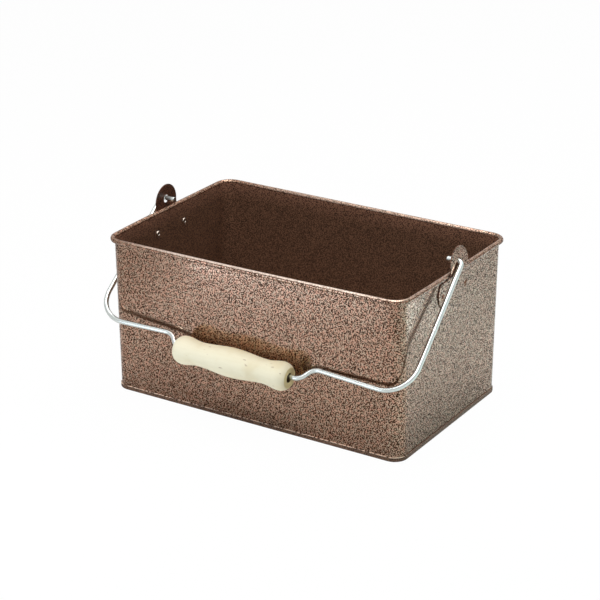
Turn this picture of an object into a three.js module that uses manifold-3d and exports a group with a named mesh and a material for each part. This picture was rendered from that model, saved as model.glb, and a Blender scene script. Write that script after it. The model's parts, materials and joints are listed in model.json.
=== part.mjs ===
// Table caddy: a painted sheet-steel tub with a rolled rim, two riveted ears and a wire bail
// that carries a turned wooden grip. Millimetres, +Z up. The origin is the middle of the
// underside, +X runs along the tub and -Y faces the front, where the bail hangs.

import * as THREE from 'three';
import { mergeVertices } from 'three/addons/utils/BufferGeometryUtils.js';
import Module from 'manifold-3d';

const wasm = await Module();
wasm.setup();

// Tub
const TUB_LENGTH = 250; // over the end walls, which stand upright
const TUB_DEPTH = 157; // over the long walls at the rim
const TUB_HEIGHT = 125;
const LONG_WALL_LEAN = 2.65; // how far each long wall leans out between foot and rim
const CORNER_RADIUS = 10;
const SHEET = 0.5;
const RIM_WIRE_DIAMETER = 2.4;
const RIM_WIRE_GAP = 0.2; // between the rim wire and the sheet rolled round it
const CURL_GAP = 0.3; // between the end of the curl and the wall
const LIP_HEIGHT = 3.5; // of the base pan's turned-up lip
const LIP_GAP = 0.3; // between that lip and the wall
const PAN_EDGE_RADIUS = 0.75;

// Ears, measured from the rim downwards or upwards
const EAR_SHEET = 0.8;
const EAR_FOOT_WIDTH = 49;
const EAR_FOOT_HEIGHT = 25;
const EAR_FOOT_DROP = 14.5; // from the rim to the middle of the foot
const EAR_BEND_DROP = 6; // from the rim to the first bend of the joggle
const EAR_JOGGLE_RISE = 3; // height over which the plate steps out
const EAR_RIM_GAP = 0.2; // between the tongue and the rim bead
const TONGUE_WIDTH = 26.8;
const TONGUE_HEIGHT = 17; // above the rim
const SHOULDER_FILLET = 3;
const EAR_LEAN_LEFT = 0; // degrees that the tongue is bent in above the rim
const EAR_LEAN_RIGHT = 6.5;
const PIVOT_HEIGHT = 6; // of the bail's axis above the rim
const PIVOT_HOLE_DIAMETER = 6.2;
const PIVOT_HOLE_DROP = 0.7; // the wire sits this far above the middle of its hole

// Rivets
const RIVET_SPACING = 35;
const RIVET_DROP = 17.5; // below the rim
const RIVET_SHANK_DIAMETER = 3;
const RIVET_CLEARANCE = 0.25;
const RIVET_HEAD_DIAMETER = 5.8;
const RIVET_HEAD_HEIGHT = 0.9;
const RIVET_TAIL_DIAMETER = 5;
const RIVET_TAIL_HEIGHT = 0.9;
const RIVET_TAIL_FLARE = 0.5; // height of the round where the tail is turned over
const RIVET_BORE_DIAMETER = 2;
const RIVET_BORE_DEPTH = 1.6;

// Bail. It is bent by hand: its grip sits a little to the left, and it is twisted, so that its
// left side stands out from the plane of its pivots and its right side stays close to it.
const WIRE_DIAMETER = 3.8;
const BAIL_MIDDLE_AT_PIVOTS = -0.8;
const BAIL_MIDDLE_AT_GRIP = -5.7;
const LEG_GAP = 0.8; // between each leg and its ear, with the bail in the middle
const LEG_SPLAY = 1.9; // how far each leg runs out between pivot and corner
const TIP_LENGTH = 12.1; // from the leg to the end of the tip inside the tub
const RIM_CLEARANCE = 28.9; // from the rim to the shoulders as the bail swings past it
const SHOULDER_SKEW = 0.5; // how far the left shoulder hangs below the mean, and the right above
const CORNER_DROOP = 4.3; // how far the shoulders fall from the grip to the corners
const CORNER_STAND_OUT = 3.65; // of both corners from the plane of the pivots, on the mean
const CORNER_TWIST = 2.75; // how much more the left corner stands out than the mean
const GRIP_OFFSET = 10; // from the shoulders to the run through the grip
const JOG_RUN = 7.5; // length along the tub of the step from shoulder to grip
const PIVOT_BEND = 4;
const CORNER_BEND = 22;
const JOG_BEND = 10;
const REST_GAP = 0.5; // between the grip and the front wall, where the bail rests

// Grip
const GRIP_LENGTH = 97;
const GRIP_BELLY_DIAMETER = 22;
const GRIP_NECK_DIAMETER = 18;
const GRIP_BULB_DIAMETER = 21.5;
const GRIP_FACE_DIAMETER = 15.5;
const GRIP_BULB_PLACE = 7; // from the end of the grip
const GRIP_NECK_PLACE = 20;
const GRIP_BORE_DIAMETER = 7;
const GRIP_SEAT_GAP = 0.6; // where the bore bears on the wire
const GRIP_END_PLAY = 0.25; // at each end of the grip, before the wire bends
const GRIP_SLIDE = 2.6; // how far the grip has slid to the left along its run
const GRIP_TILT = 1.1; // degrees by which the bail's twist lifts the left end of that run

// Facets
const CORNER_STEPS = 6;
const CURL_STEPS = 12;
const ROUND_SIDES = 12;
const BORE_SIDES = 16;
const GRIP_SIDES = 24;
const BEND_STEP = 12; // degrees
const PROFILE_STEPS = 6;
const SMALL_STEPS = 3; // on a rivet's dome and the pan's edge

const FRONT = -1;
const WELD = 1e-5; // corners closer than this are one corner
const CUT_LENGTH = 10; // of the bars that cut the holes
const HALF_TURN = Math.PI;
const QUARTER_TURN = Math.PI / 2;
const { degToRad } = THREE.MathUtils;

// Places that several pieces share
const END_WALL = TUB_LENGTH / 2;
const FOOT_HALF_DEPTH = TUB_DEPTH / 2 - LONG_WALL_LEAN;
const BEAD_RADIUS = RIM_WIRE_DIAMETER / 2 + RIM_WIRE_GAP + SHEET;
const BEAD_OUT = BEAD_RADIUS - SHEET; // from the wall's outer face to the middle of the bead
const BEAD_HEIGHT = TUB_HEIGHT - BEAD_RADIUS;
const RIVET_PLACES = [-RIVET_SPACING / 2, RIVET_SPACING / 2]; // across the end wall
const RIVET_HOLE_DIAMETER = RIVET_SHANK_DIAMETER + 2 * RIVET_CLEARANCE;
const TONGUE_OUT = BEAD_OUT + BEAD_RADIUS + EAR_RIM_GAP;
const PIVOT_Z = TUB_HEIGHT + PIVOT_HEIGHT;
const WIRE_RADIUS = WIRE_DIAMETER / 2;
const LEG_AT_PIVOT = END_WALL + TONGUE_OUT + EAR_SHEET + LEG_GAP + WIRE_RADIUS;
const LEG_AT_CORNER = LEG_AT_PIVOT + LEG_SPLAY;
const SHOULDER_REACH = TUB_DEPTH / 2 + RIM_CLEARANCE;
const WIRE_REACH = SHOULDER_REACH + GRIP_OFFSET;
const GRIP_REACH = WIRE_REACH + (GRIP_BORE_DIAMETER - WIRE_DIAMETER) / 2 - GRIP_SEAT_GAP;
const JOG_TURN = Math.atan2(GRIP_OFFSET, JOG_RUN);
const JOG_INNER = GRIP_LENGTH / 2 + GRIP_END_PLAY + JOG_BEND * Math.tan(JOG_TURN / 2);

// The bail hangs at the angle where the grip lies against the leaning front wall.
const WALL_ANGLE = Math.atan2(LONG_WALL_LEAN, TUB_HEIGHT);
const AXIS_TO_WALL = FOOT_HALF_DEPTH * Math.cos(WALL_ANGLE) + PIVOT_Z * Math.sin(WALL_ANGLE);
const GRIP_STAND_OFF = GRIP_BELLY_DIAMETER / 2 + REST_GAP;
const HANG_ANGLE = WALL_ANGLE + Math.acos((AXIS_TO_WALL + GRIP_STAND_OFF) / GRIP_REACH);

const PAINT = { color: 0x6d4c40, roughness: 0.4, metalness: 0.35 };
const BARE_STEEL = { color: 0x8f9296, roughness: 0.45, metalness: 1 };
const ZINC = { color: 0xc9ced3, roughness: 0.28, metalness: 1 };
const PALE_WOOD = { color: 0xe9dfc0, roughness: 0.75, metalness: 0 };

// Closed solids for cutting and joining, and back to a geometry
function solidOf(geometry) {
  const bare = geometry.index ? geometry.clone() : mergeVertices(geometry);
  bare.deleteAttribute('normal');
  bare.deleteAttribute('uv');
  const merged = mergeVertices(bare, WELD);
  return new wasm.Manifold(new wasm.Mesh({
    numProp: 3,
    vertProperties: new Float32Array(merged.attributes.position.array),
    triVerts: new Uint32Array(merged.index.array),
  }));
}

function geometryOf(solid) {
  const mesh = solid.getMesh();
  const geometry = new THREE.BufferGeometry();
  geometry.setAttribute('position', new THREE.BufferAttribute(mesh.vertProperties, 3));
  geometry.setIndex(new THREE.BufferAttribute(mesh.triVerts, 1));
  geometry.computeVertexNormals();
  return geometry;
}

function named(name, geometry, finish) {
  const mesh = new THREE.Mesh(geometry, new THREE.MeshStandardMaterial(finish));
  mesh.name = name;
  return mesh;
}

// Points of an arc in the plane, from one angle to another
function arc(middle, radius, from, to, steps) {
  return Array.from({ length: steps + 1 }, (_, step) => {
    const angle = from + (to - from) * step / steps;
    const spoke = new THREE.Vector2(Math.cos(angle), Math.sin(angle));
    return spoke.multiplyScalar(radius).add(middle);
  });
}

// A round peg or hole along X
function crossBar(diameter, length, sides) {
  const geometry = new THREE.CylinderGeometry(diameter / 2, diameter / 2, length, sides);
  return geometry.rotateZ(QUARTER_TURN);
}

// The tub's rounded-rectangle outline at a height, moved out from the wall's outer face
function tubOutline(out, height) {
  const x = TUB_LENGTH / 2 - CORNER_RADIUS;
  const y = FOOT_HALF_DEPTH + LONG_WALL_LEAN * height / TUB_HEIGHT - CORNER_RADIUS;
  const corners = [[x, y], [-x, y], [-x, -y], [x, -y]];
  return corners.flatMap(([cornerX, cornerY], corner) => arc(
    new THREE.Vector2(cornerX, cornerY), CORNER_RADIUS + out,
    corner * QUARTER_TURN, (corner + 1) * QUARTER_TURN, CORNER_STEPS,
  ));
}

// A section carried round the tub. Its points hold the distance out from the wall and the
// height. A closed section makes a ring, and an open one ends in two flat faces.
function roundTheTub(section, closed) {
  const outlines = section.map((point) => tubOutline(point.x, point.y));
  const around = outlines[0].length;
  const position = outlines.flatMap((outline, row) => outline.flatMap(
    (point) => [point.x, point.y, section[row].y],
  ));
  const index = [];
  const rows = closed ? section.length : section.length - 1;
  for (let row = 0; row < rows; row += 1) {
    const here = row * around;
    const next = ((row + 1) % section.length) * around;
    for (let step = 0; step < around; step += 1) {
      const following = (step + 1) % around;
      index.push(here + step, here + following, next + following);
      index.push(here + step, next + following, next + step);
    }
  }
  if (!closed) {
    const last = (section.length - 1) * around;
    for (let step = 1; step < around - 1; step += 1) {
      index.push(0, step + 1, step);
      index.push(last, last + step, last + step + 1);
    }
  }
  const geometry = new THREE.BufferGeometry();
  geometry.setAttribute('position', new THREE.Float32BufferAttribute(position, 3));
  geometry.setIndex(index);
  geometry.computeVertexNormals();
  return geometry;
}

function rivetHole(x, y) {
  const hole = crossBar(RIVET_HOLE_DIAMETER, CUT_LENGTH, BORE_SIDES);
  return solidOf(hole.translate(x, y, TUB_HEIGHT - RIVET_DROP));
}

// Wall: the sheet stands on the pan's floor and is rolled outwards round the rim wire
function tubWall() {
  const bead = new THREE.Vector2(BEAD_OUT, BEAD_HEIGHT);
  const curlEnd = -Math.acos((CURL_GAP - BEAD_OUT) / BEAD_RADIUS);
  const section = [
    new THREE.Vector2(0, SHEET),
    ...arc(bead, BEAD_RADIUS - SHEET, HALF_TURN, curlEnd, CURL_STEPS),
    ...arc(bead, BEAD_RADIUS, curlEnd, HALF_TURN, CURL_STEPS),
    new THREE.Vector2(-SHEET, SHEET),
  ];
  let wall = solidOf(roundTheTub(section, true));
  for (const end of [-END_WALL, END_WALL]) {
    for (const y of RIVET_PLACES) wall = wall.subtract(rivetHole(end, y));
  }
  return named('tub_wall', geometryOf(wall), PAINT);
}

function rimWire() {
  const middle = new THREE.Vector2(BEAD_OUT, BEAD_HEIGHT);
  const section = arc(middle, RIM_WIRE_DIAMETER / 2, 0, 2 * HALF_TURN, ROUND_SIDES);
  section.pop();
  return named('rim_wire', roundTheTub(section, true), BARE_STEEL);
}

function basePan() {
  const outside = LIP_GAP + SHEET;
  const edge = new THREE.Vector2(outside - PAN_EDGE_RADIUS, PAN_EDGE_RADIUS);
  const section = [
    ...arc(edge, PAN_EDGE_RADIUS, -QUARTER_TURN, 0, SMALL_STEPS),
    new THREE.Vector2(outside, LIP_HEIGHT),
    new THREE.Vector2(LIP_GAP, LIP_HEIGHT),
    new THREE.Vector2(LIP_GAP, SHEET),
  ];
  return named('base_pan', roundTheTub(section, false), PAINT);
}

// Ear outline, seen square to the end wall: a round-ended foot and a round-topped tongue
function earOutline() {
  const foot = EAR_FOOT_HEIGHT / 2;
  const footMiddle = TUB_HEIGHT - EAR_FOOT_DROP;
  const lobe = EAR_FOOT_WIDTH / 2 - foot;
  const tongue = TONGUE_WIDTH / 2;
  const tongueMiddle = TUB_HEIGHT + TONGUE_HEIGHT - tongue;
  const fillet = tongue + SHOULDER_FILLET;
  const filletRise = Math.sqrt((foot + SHOULDER_FILLET) ** 2 - (fillet - lobe) ** 2);
  const filletTurn = Math.atan2(filletRise, fillet - lobe);
  const shape = new THREE.Shape();
  shape.absarc(lobe, footMiddle, foot, -QUARTER_TURN, filletTurn, false);
  shape.absarc(fillet, footMiddle + filletRise, SHOULDER_FILLET,
    filletTurn - HALF_TURN, -HALF_TURN, true);
  shape.absarc(0, tongueMiddle, tongue, 0, HALF_TURN, false);
  shape.absarc(-fillet, footMiddle + filletRise, SHOULDER_FILLET, 0, -filletTurn, true);
  shape.absarc(-lobe, footMiddle, foot, HALF_TURN - filletTurn, HALF_TURN + QUARTER_TURN, false);
  return shape;
}

// Outline of a bent sheet whose inner face follows a path, seen on edge
function bentSheet(path, thickness) {
  const side = (from, to) => {
    const along = to.clone().sub(from).normalize();
    return new THREE.Vector2(along.y, -along.x);
  };
  const last = path.length - 1;
  const outer = path.map((point, i) => {
    const before = side(path[Math.max(i - 1, 0)], path[Math.max(i, 1)]);
    const after = side(path[Math.min(i, last - 1)], path[Math.min(i + 1, last)]);
    const mitre = before.clone().add(after).multiplyScalar(thickness / (1 + before.dot(after)));
    return mitre.add(point);
  });
  return new THREE.Shape([...outer, ...path.toReversed()]);
}

// Ear: flat on the end wall at its foot, joggled out past the rim bead. It is made with the
// wall's outer face at x = 0.
function ear(name, lean) {
  const bend = TUB_HEIGHT - EAR_BEND_DROP;
  const overTop = 2 * TONGUE_HEIGHT; // the bent plate is larger all round than the ear cut from it
  const leanIn = overTop * Math.tan(degToRad(lean));
  const edge = bentSheet([
    new THREE.Vector2(0, bend - EAR_FOOT_HEIGHT),
    new THREE.Vector2(0, bend),
    new THREE.Vector2(TONGUE_OUT, bend + EAR_JOGGLE_RISE),
    new THREE.Vector2(TONGUE_OUT, TUB_HEIGHT),
    new THREE.Vector2(TONGUE_OUT - leanIn, TUB_HEIGHT + overTop),
  ], EAR_SHEET);
  const across = 2 * EAR_FOOT_WIDTH;
  const plate = new THREE.ExtrudeGeometry(edge, { depth: across, bevelEnabled: false });
  plate.translate(0, 0, -across / 2).rotateX(QUARTER_TURN);

  const blank = new THREE.ExtrudeGeometry(earOutline(), {
    depth: across, bevelEnabled: false, curveSegments: ROUND_SIDES,
  });
  const outlineToEndWall = new THREE.Matrix4().set(0, 0, 1, 0, 1, 0, 0, 0, 0, 1, 0, 0, 0, 0, 0, 1);
  blank.translate(0, 0, -across / 2).applyMatrix4(outlineToEndWall);

  const pivotHole = crossBar(PIVOT_HOLE_DIAMETER, CUT_LENGTH, BORE_SIDES);
  pivotHole.translate(TONGUE_OUT, 0, PIVOT_Z - PIVOT_HOLE_DROP);
  let solid = solidOf(plate).intersect(solidOf(blank)).subtract(solidOf(pivotHole));
  for (const y of RIVET_PLACES) solid = solid.subtract(rivetHole(0, y));
  return named(name, geometryOf(solid), PAINT);
}

// Rivet: a low domed head on the ear, a shank, and a hollow tail clinched inside the wall
function rivet(name) {
  const head = RIVET_HEAD_DIAMETER / 2;
  const shank = RIVET_SHANK_DIAMETER / 2;
  const tail = RIVET_TAIL_DIAMETER / 2;
  const bore = RIVET_BORE_DIAMETER / 2;
  const tailEnd = -SHEET - RIVET_TAIL_HEIGHT;
  const dome = arc(new THREE.Vector2(), 1, 0, QUARTER_TURN, SMALL_STEPS).map(
    (point) => new THREE.Vector2(point.x * head, EAR_SHEET + point.y * RIVET_HEAD_HEIGHT),
  );
  dome.at(-1).x = 0;
  const profile = [
    new THREE.Vector2(0, tailEnd + RIVET_BORE_DEPTH),
    new THREE.Vector2(bore, tailEnd + RIVET_BORE_DEPTH),
    new THREE.Vector2(bore, tailEnd + RIVET_TAIL_FLARE),
    new THREE.Vector2((bore + tail) / 2, tailEnd),
    new THREE.Vector2(tail, tailEnd + RIVET_TAIL_FLARE),
    new THREE.Vector2(tail, -SHEET),
    new THREE.Vector2(shank, -SHEET),
    new THREE.Vector2(shank, EAR_SHEET),
    ...dome,
  ];
  const geometry = new THREE.LatheGeometry(profile, BORE_SIDES).rotateZ(-QUARTER_TURN);
  return named(name, geometry, PAINT);
}

// An ear with its two rivets, facing out along +X from the wall
function earSet(side, lean) {
  const set = new THREE.Group();
  set.add(ear(`ear_${side}`, lean));
  const outward = side === 'right' ? 1 : -1;
  for (const y of RIVET_PLACES) {
    const place = y * outward * FRONT > 0 ? 'front' : 'rear';
    const piece = rivet(`rivet_${side}_${place}`);
    piece.position.set(0, y, TUB_HEIGHT - RIVET_DROP);
    set.add(piece);
  }
  set.position.x = outward * END_WALL;
  set.rotation.z = outward > 0 ? 0 : HALF_TURN;
  return set;
}

// A wire of straight runs and round bends, with its stations only where it bends
class BentWire extends THREE.Curve {
  constructor(corners) {
    super();
    this.stations = [];
    corners.forEach(({ point, bend }, i) => {
      const before = corners[i - 1]?.point ?? point;
      const after = corners[i + 1]?.point ?? point;
      if (bend) this.addBend(before, point, after, bend);
      else this.addStation(point, after.clone().sub(before));
    });
  }

  addStation(point, along) {
    this.stations.push({ point: point.clone(), tangent: along.clone().normalize() });
  }

  addBend(before, corner, after, radius) {
    const into = corner.clone().sub(before).normalize();
    const out = after.clone().sub(corner).normalize();
    const turn = into.angleTo(out);
    const start = corner.clone().addScaledVector(into, -radius * Math.tan(turn / 2));
    const inward = out.clone().addScaledVector(into, -into.dot(out)).normalize();
    const steps = Math.ceil(turn / degToRad(BEND_STEP));
    for (let step = 0; step <= steps; step += 1) {
      const angle = turn * step / steps;
      const point = start.clone()
        .addScaledVector(into, radius * Math.sin(angle))
        .addScaledVector(inward, radius * (1 - Math.cos(angle)));
      const along = into.clone().multiplyScalar(Math.cos(angle));
      this.addStation(point, along.addScaledVector(inward, Math.sin(angle)));
    }
  }

  getPointAt(u, target = new THREE.Vector3()) {
    return target.copy(this.stations[Math.round(u * (this.stations.length - 1))].point);
  }

  getTangentAt(u, target = new THREE.Vector3()) {
    return target.copy(this.stations[Math.round(u * (this.stations.length - 1))].tangent);
  }
}

// Half of the bail's corners, from the tip to the grip, for the right (+1) or left (-1) side.
// In the bail's own frame the pivots lie along X, the bail reaches out along -Y and +Z points
// away from the wall that it hangs against.
function bailCorners(side) {
  const at = (x, reach, out, bend) => ({ point: new THREE.Vector3(x, FRONT * reach, out), bend });
  const pivot = BAIL_MIDDLE_AT_PIVOTS + side * LEG_AT_PIVOT;
  const cornerOut = CORNER_STAND_OUT - side * CORNER_TWIST;
  const shoulder = side * (JOG_INNER + JOG_RUN);
  const gripEnd = side * JOG_INNER;
  const tilt = Math.tan(degToRad(GRIP_TILT));
  return [
    at(pivot - side * TIP_LENGTH, 0, 0),
    at(pivot, 0, 0, PIVOT_BEND),
    at(side * LEG_AT_CORNER, SHOULDER_REACH + CORNER_DROOP, cornerOut, CORNER_BEND),
    at(BAIL_MIDDLE_AT_GRIP + shoulder, SHOULDER_REACH - side * SHOULDER_SKEW, -shoulder * tilt,
      JOG_BEND),
    at(BAIL_MIDDLE_AT_GRIP + gripEnd, WIRE_REACH, -gripEnd * tilt, JOG_BEND),
  ];
}

function bailWire() {
  const path = new BentWire([...bailCorners(1), ...bailCorners(-1).toReversed()]);
  const ring = arc(new THREE.Vector2(), WIRE_RADIUS, 0, 2 * HALF_TURN, ROUND_SIDES);
  ring.pop();
  const geometry = new THREE.ExtrudeGeometry(new THREE.Shape(ring), {
    steps: path.stations.length - 1, extrudePath: path,
  });
  return named('bail_wire', geometry, ZINC);
}

// Half of the grip's turned outline, from the end face to the middle. x is the radius and y
// the distance from the end.
function gripOutline() {
  const face = GRIP_FACE_DIAMETER / 2;
  const bulb = GRIP_BULB_DIAMETER / 2;
  const round = arc(new THREE.Vector2(), 1, -QUARTER_TURN, 0, PROFILE_STEPS).map(
    (point) => new THREE.Vector2(face + (bulb - face) * point.x, GRIP_BULB_PLACE * (1 + point.y)),
  );
  const swells = [
    new THREE.Vector2(bulb, GRIP_BULB_PLACE),
    new THREE.Vector2(GRIP_NECK_DIAMETER / 2, GRIP_NECK_PLACE),
    new THREE.Vector2(GRIP_BELLY_DIAMETER / 2, GRIP_LENGTH / 2),
  ];
  const waves = swells.slice(1).flatMap((to, i) => {
    const from = swells[i];
    return Array.from({ length: PROFILE_STEPS }, (_, step) => {
      const along = (step + 1) / PROFILE_STEPS;
      const ease = (1 - Math.cos(HALF_TURN * along)) / 2;
      const radius = THREE.MathUtils.lerp(from.x, to.x, ease);
      return new THREE.Vector2(radius, THREE.MathUtils.lerp(from.y, to.y, along));
    });
  });
  return [...round, ...waves];
}

function grip() {
  const bore = GRIP_BORE_DIAMETER / 2;
  const half = gripOutline();
  const otherHalf = half.slice(0, -1).toReversed().map(
    (point) => new THREE.Vector2(point.x, GRIP_LENGTH - point.y),
  );
  const start = new THREE.Vector2(bore, 0);
  const profile = [start, ...half, ...otherHalf, new THREE.Vector2(bore, GRIP_LENGTH), start];
  const geometry = new THREE.LatheGeometry(profile, GRIP_SIDES);
  geometry.translate(0, -GRIP_LENGTH / 2 - GRIP_SLIDE, 0).rotateZ(-QUARTER_TURN);
  const piece = named('grip', geometry, PALE_WOOD);
  piece.position.set(BAIL_MIDDLE_AT_GRIP, FRONT * GRIP_REACH, 0);
  piece.rotation.y = degToRad(GRIP_TILT);
  return piece;
}

function bail() {
  const group = new THREE.Group();
  group.add(bailWire(), grip());
  group.position.z = PIVOT_Z;
  group.rotation.x = HANG_ANGLE;
  return group;
}

const caddy = new THREE.Group();
caddy.add(tubWall(), rimWire(), basePan());
caddy.add(earSet('left', EAR_LEAN_LEFT), earSet('right', EAR_LEAN_RIGHT), bail());

export default caddy;
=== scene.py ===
"""The table caddy's looks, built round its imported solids: a hammer-finished sheet tub with a rolled
rim and riveted ears, and a zinc-plated wire bail with a turned wooden grip."""

import json
import math

import bmesh
import bpy
from mathutils import Euler, Matrix, Vector

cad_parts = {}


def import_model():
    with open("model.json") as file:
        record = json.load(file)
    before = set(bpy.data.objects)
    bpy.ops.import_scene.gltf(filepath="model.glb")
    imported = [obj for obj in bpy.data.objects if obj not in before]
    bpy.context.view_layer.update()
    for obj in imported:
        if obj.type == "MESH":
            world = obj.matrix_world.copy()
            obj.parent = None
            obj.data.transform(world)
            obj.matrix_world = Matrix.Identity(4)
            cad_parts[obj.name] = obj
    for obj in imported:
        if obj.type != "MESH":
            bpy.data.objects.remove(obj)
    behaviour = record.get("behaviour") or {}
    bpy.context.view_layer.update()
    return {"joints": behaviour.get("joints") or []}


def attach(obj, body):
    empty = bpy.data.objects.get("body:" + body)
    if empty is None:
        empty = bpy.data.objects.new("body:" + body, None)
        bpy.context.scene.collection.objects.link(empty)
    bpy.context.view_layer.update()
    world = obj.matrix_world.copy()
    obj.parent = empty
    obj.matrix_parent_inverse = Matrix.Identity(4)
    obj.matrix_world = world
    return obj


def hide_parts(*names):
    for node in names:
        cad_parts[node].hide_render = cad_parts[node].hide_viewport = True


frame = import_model()

# Sizes are in millimetres, and the row frame is in metres
MM = 0.001

# Tub
TUB_LENGTH = 250
TUB_DEPTH = 157  # over the long walls at the rim
TUB_HEIGHT = 125
LONG_WALL_LEAN = 2.65  # how far each long wall leans out between foot and rim
CORNER_RADIUS = 10
SHEET = 0.5
BEAD_RADIUS = 1.9  # of the rolled rim
CURL_GAP = 0.3  # between the end of the curl and the wall
RIM_WIRE_RADIUS = 1.2
FRONT_RIM = {"left": -0.85, "middle": -0.55, "right": 1.3}  # its height over the other rims
LIP_HEIGHT = 3.5  # of the base pan's turned-up lip
LIP_GAP = 0.3
LIP_ROUND = 0.4  # radius of the lip's outer top edge
FILLED_GAP = 0.05  # what the enamel leaves of the lip's gap
PAN_EDGE_RADIUS = 0.75
BOW = 0.3  # how far a thin panel has settled inwards
RIPPLE = 0.07  # height of the waves that are left in a settled long panel
RIPPLE_ALONG = 0.043  # radians of such a wave per millimetre along the panel
RIPPLE_UP = 0.06  # and per millimetre up it
RIPPLE_START = 0.6  # radians at the panel's middle

# Where the finishes meet
RIM_LAP = 2.2  # how far the hammer finish laps over the rim to the inside
LIT_OVERSPRAY = 13  # how far below that lap its overspray, which also paints the light near the rim, fades out
RIM_HIGHLIGHT_FROM = -118  # where, at the left, the front rim starts to take its painted highlight
RIM_HIGHLIGHT_FULL = -60  # where that painted highlight is full
RIM_HIGHLIGHT_LAST = 85  # where the rubbing starts to fade towards the right
RIM_HIGHLIGHT_RIGHT = 0.2  # how much of it is left at the right end
RIM_HIGHLIGHT_BACK = 0.28  # how much of the front rim's painted highlight the back rim has
RIM_CROWN = 0.6  # least rise of a face's normal on the crown of the bead
LIP_CROWN = 0.2  # least rise of a face's normal on the lip's edge that takes the painted highlight
EAR_FRONT = 0.4  # least part along X of a face's normal on the hammer-finished front of an ear; the other faces take painted shade

# Ears
EAR_SHEET = 0.8
EAR_FOOT_WIDTH = 49
EAR_FOOT_HEIGHT = 25
EAR_FOOT_DROP = 14.5  # from the rim to the middle of the foot
EAR_BEND_DROP = 6  # from the rim to the first bend of the joggle
EAR_JOGGLE_RISE = 3
EAR_RIM_GAP = 0.2
EAR_BEND_BLUR = 0.7  # half the height over which each bend is rounded
EAR_EDGE = 0.14  # the broken edge of the stamped plate
TONGUE_WIDTH = 26.8
TONGUE_HEIGHT = 17
SHOULDER_FILLET = 3
EAR_LEAN = {"left": 0, "right": 6.5}  # degrees that the tongue is bent in above the rim
PIVOT_HEIGHT = 6
PIVOT_HOLE_DIAMETER = 6.2
PIVOT_HOLE_DROP = 0.7

# Rivets
RIVET_SPACING = 35
RIVET_DROP = 17.5
RIVET_HOLE_DIAMETER = 3.5
RIVET_SHANK_RADIUS = 1.5
RIVET_HEAD_RADIUS = 2.9
RIVET_HEAD_HEIGHT = 0.9
RIVET_TAIL_RADIUS = 2.5
RIVET_TAIL_HEIGHT = 0.9
RIVET_BORE_RADIUS = 1
RIVET_BORE_DEPTH = 1.6
RIVET_POLE = 0.01  # radius of the tiny flat at a turned pole, as a share of the radius round it

# Bail, bent by hand and a little uneven
WIRE_RADIUS = 1.9
WIRE_END_ROUND = 0.35
BAIL_MIDDLE_AT_PIVOTS = -0.8
BAIL_MIDDLE_AT_GRIP = -5.7  # the grip sits a little to the left
LEG_AT_PIVOT = 132.0  # from the bail's middle
LEG_AT_CORNER = 133.9  # from the tub's middle, as the legs splay
TIP_LENGTH = 12.1  # of the in-turned end, from the leg's middle
SHOULDER_REACH = 107.4  # from the pivots to the shoulders beside the grip
SHOULDER_SKEW = 0.5  # how far the left shoulder hangs below the mean, and the right above
CORNER_DROOP = 4.3  # how much further than the shoulders the corners reach
CORNER_STAND_OUT = 3.65  # of both corners from the plane of the pivots, on the mean
CORNER_TWIST = 2.75  # how much more the left corner stands out than the mean
GRIP_OFFSET = 10  # how much further than the shoulders the grip's run reaches
JOG_RUN = 7.5  # of the wire along X, from a shoulder to the grip's run
PIVOT_BEND = 4
CORNER_BEND = 22
JOG_BEND = 10

# Grip
GRIP_LENGTH = 97
GRIP_BELLY_RADIUS = 11
GRIP_NECK_RADIUS = 9
GRIP_BULB_RADIUS = 10.75
GRIP_FACE_RADIUS = 7.75
GRIP_BULB_PLACE = 7
GRIP_FACE_EDGE = math.radians(55)  # the turn of the bulb from its widest place to the end face
GRIP_NECK_PLACE = 20
GRIP_BORE_RADIUS = 3.5
GRIP_BORE_CHAMFER = 0.5
GRIP_END_PLAY = 0.25
GRIP_SLIDE = 2.6  # how far the grip has slid to the left along its run
GRIP_TILT = math.radians(1.1)  # by which the bail's twist lifts the left end of that run

# Fineness of the meshes
CORNER_STEPS = 14
SIDE_STEPS = 26
WALL_ROWS = 22
CURL_STEPS = 26
ROUND_SIDES = 28
GRIP_SIDES = 72
BEND_STEP = 4  # degrees
PROFILE_STEPS = 18
SMALL_STEPS = 7
SHARP_ANGLE = math.radians(38)

# Places that several pieces share
END_WALL = TUB_LENGTH / 2
BEAD_OUT = BEAD_RADIUS - SHEET
BEAD_HEIGHT = TUB_HEIGHT - BEAD_RADIUS
TONGUE_OUT = BEAD_OUT + BEAD_RADIUS + EAR_RIM_GAP
RIVET_HEIGHT = TUB_HEIGHT - RIVET_DROP
RIVET_PLACES = {"front": -RIVET_SPACING / 2, "rear": RIVET_SPACING / 2}
SIDES = {"left": -1, "right": 1}
LAP_HEIGHT = TUB_HEIGHT - RIM_LAP

hinges = {joint["name"]: Vector(joint["pos_m"]) for joint in frame["joints"]}
pivot = hinges["bail_swing"]
grip_axis = hinges["grip_spin"]
HANG = math.atan2(pivot.z - grip_axis.z, pivot.y - grip_axis.y)  # of the bail, from level down


# Materials, with their colours as sRGB hex codes

COPPER_FLAKE = "B68871"
TAN_FLAKE = "AB927D"
SPECK = "371C06"
# pale colours that paint the highlight along the rim
RIM_HIGHLIGHT_FLAKE = "E0CDBF"
RIM_HIGHLIGHT_SPECK = "B19C8D"
# copper of the overspray, whose flecks also paint the light below the rim
LIT_OVERSPRAY_FLAKE = "D09A80"
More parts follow.
